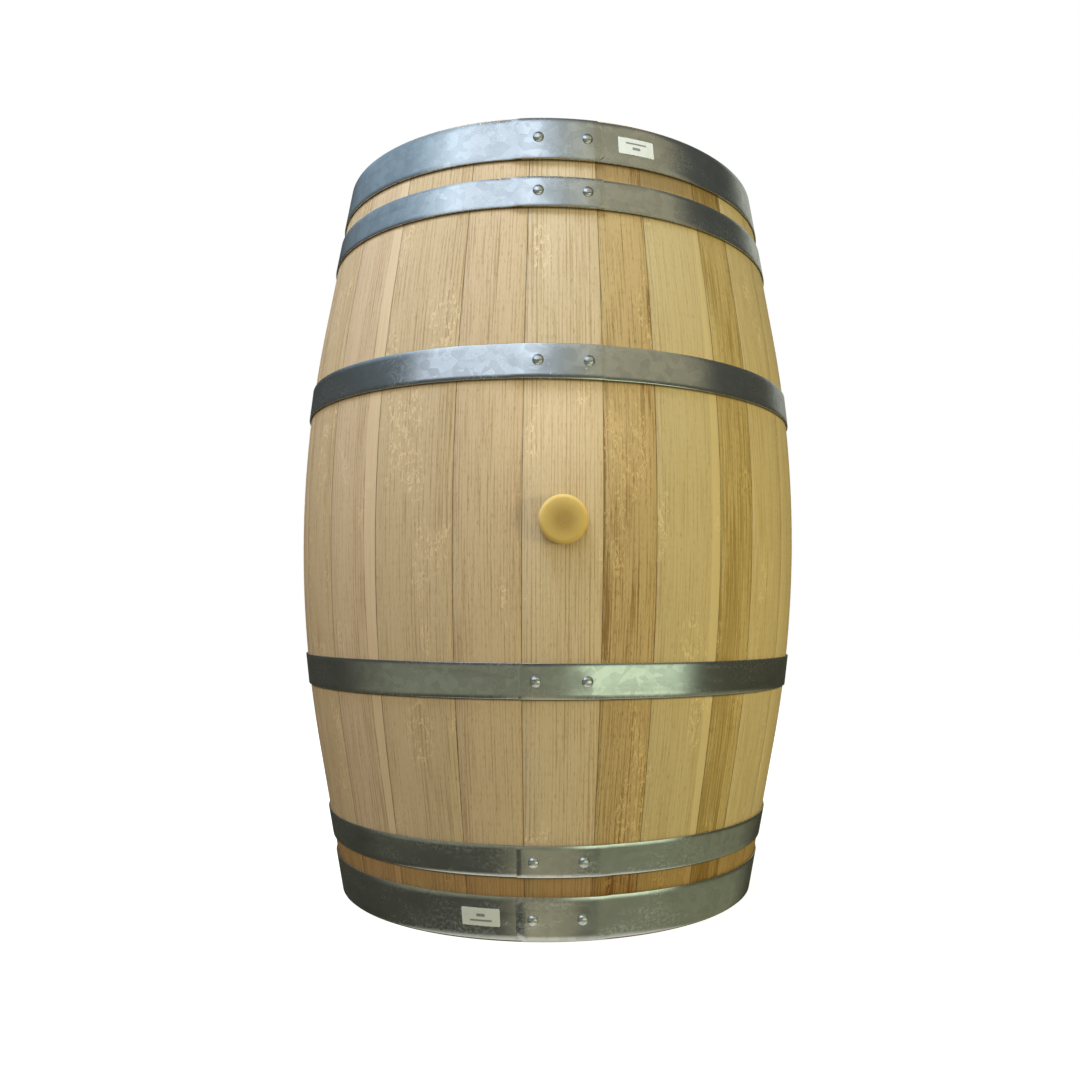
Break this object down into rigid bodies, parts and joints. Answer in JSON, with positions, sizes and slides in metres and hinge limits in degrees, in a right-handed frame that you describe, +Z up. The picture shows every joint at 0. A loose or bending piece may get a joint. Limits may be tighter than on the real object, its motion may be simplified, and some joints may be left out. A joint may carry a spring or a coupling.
{
  "type": "wine barrel",
  "caption": "Upright oak wine barrel of bent staves held by riveted steel hoops, with doweled heads in a croze and a silicone bung that pulls out of the bilge.",
  "frame": {"origin": "centre of the plane that the lower stave ends stand on, on the barrel's axis", "axes": "+Z up along the barrel's axis; -Y points out through the bung hole; +X is to the right of someone who faces the bung"},
  "size_m": [0.6829, 0.696, 0.95],
  "materials": {
    "oak_staves": "planed and sanded, unvarnished, fine quarter-sawn grain with ray flecks",
    "oak_heads": "planed and sanded, unvarnished",
    "dowels": "turned",
    "dry_reed": "matt, pressed flat",
    "galvanised_hoops": "galvanised, mottled spangle, half dull",
    "rivets": "zinc plated, bright on the dome",
    "silicone_bung": "translucent amber silicone, soft sheen",
    "label_film": "white printed film"
  },
  "bodies": {
    "barrel": {"bung_stave": "oak_staves", "stave_02": "oak_staves", "stave_03": "oak_staves", "stave_04": "oak_staves", "stave_05": "oak_staves", "stave_06": "oak_staves", "stave_07": "oak_staves", "stave_08": "oak_staves", "stave_09": "oak_staves", "stave_10": "oak_staves", "stave_11": "oak_staves", "stave_12": "oak_staves", "stave_13": "oak_staves", "stave_14": "oak_staves", "stave_15": "oak_staves", "stave_16": "oak_staves", "stave_17": "oak_staves", "stave_18": "oak_staves", "stave_19": "oak_staves", "stave_20": "oak_staves", "stave_21": "oak_staves", "stave_22": "oak_staves", "stave_23": "oak_staves", "stave_24": "oak_staves", "stave_25": "oak_staves", "stave_26": "oak_staves", "stave_27": "oak_staves", "top_head_hoop": "galvanised_hoops", "top_quarter_hoop": "galvanised_hoops", "top_bilge_hoop": "galvanised_hoops", "bottom_head_hoop": "galvanised_hoops", "bottom_quarter_hoop": "galvanised_hoops", "bottom_bilge_hoop": "galvanised_hoops", "top_head_hoop_rivets": "rivets", "top_quarter_hoop_rivets": "rivets", "top_bilge_hoop_rivets": "rivets", "bottom_head_hoop_rivets": "rivets", "bottom_quarter_hoop_rivets": "rivets", "bottom_bilge_hoop_rivets": "rivets", "top_head_board_1": "oak_heads", "top_head_board_2": "oak_heads", "top_head_board_3": "oak_heads", "top_head_board_4": "oak_heads", "top_head_board_5": "oak_heads", "top_head_board_6": "oak_heads", "bottom_head_board_1": "oak_heads", "bottom_head_board_2": "oak_heads", "bottom_head_board_3": "oak_heads", "bottom_head_board_4": "oak_heads", "bottom_head_board_5": "oak_heads", "bottom_head_board_6": "oak_heads", "top_head_dowels": "dowels", "bottom_head_dowels": "dowels", "top_head_reeds": "dry_reed", "bottom_head_reeds": "dry_reed", "stock_labels": "label_film"},
    "bung": {"bung": "silicone_bung"}
  },
  "joints": [
    {"name": "bung_pull", "type": "slide", "parent": "barrel", "child": "bung", "axis": [0, -1, 0], "range_m": [0, 0.06]}
  ]
}
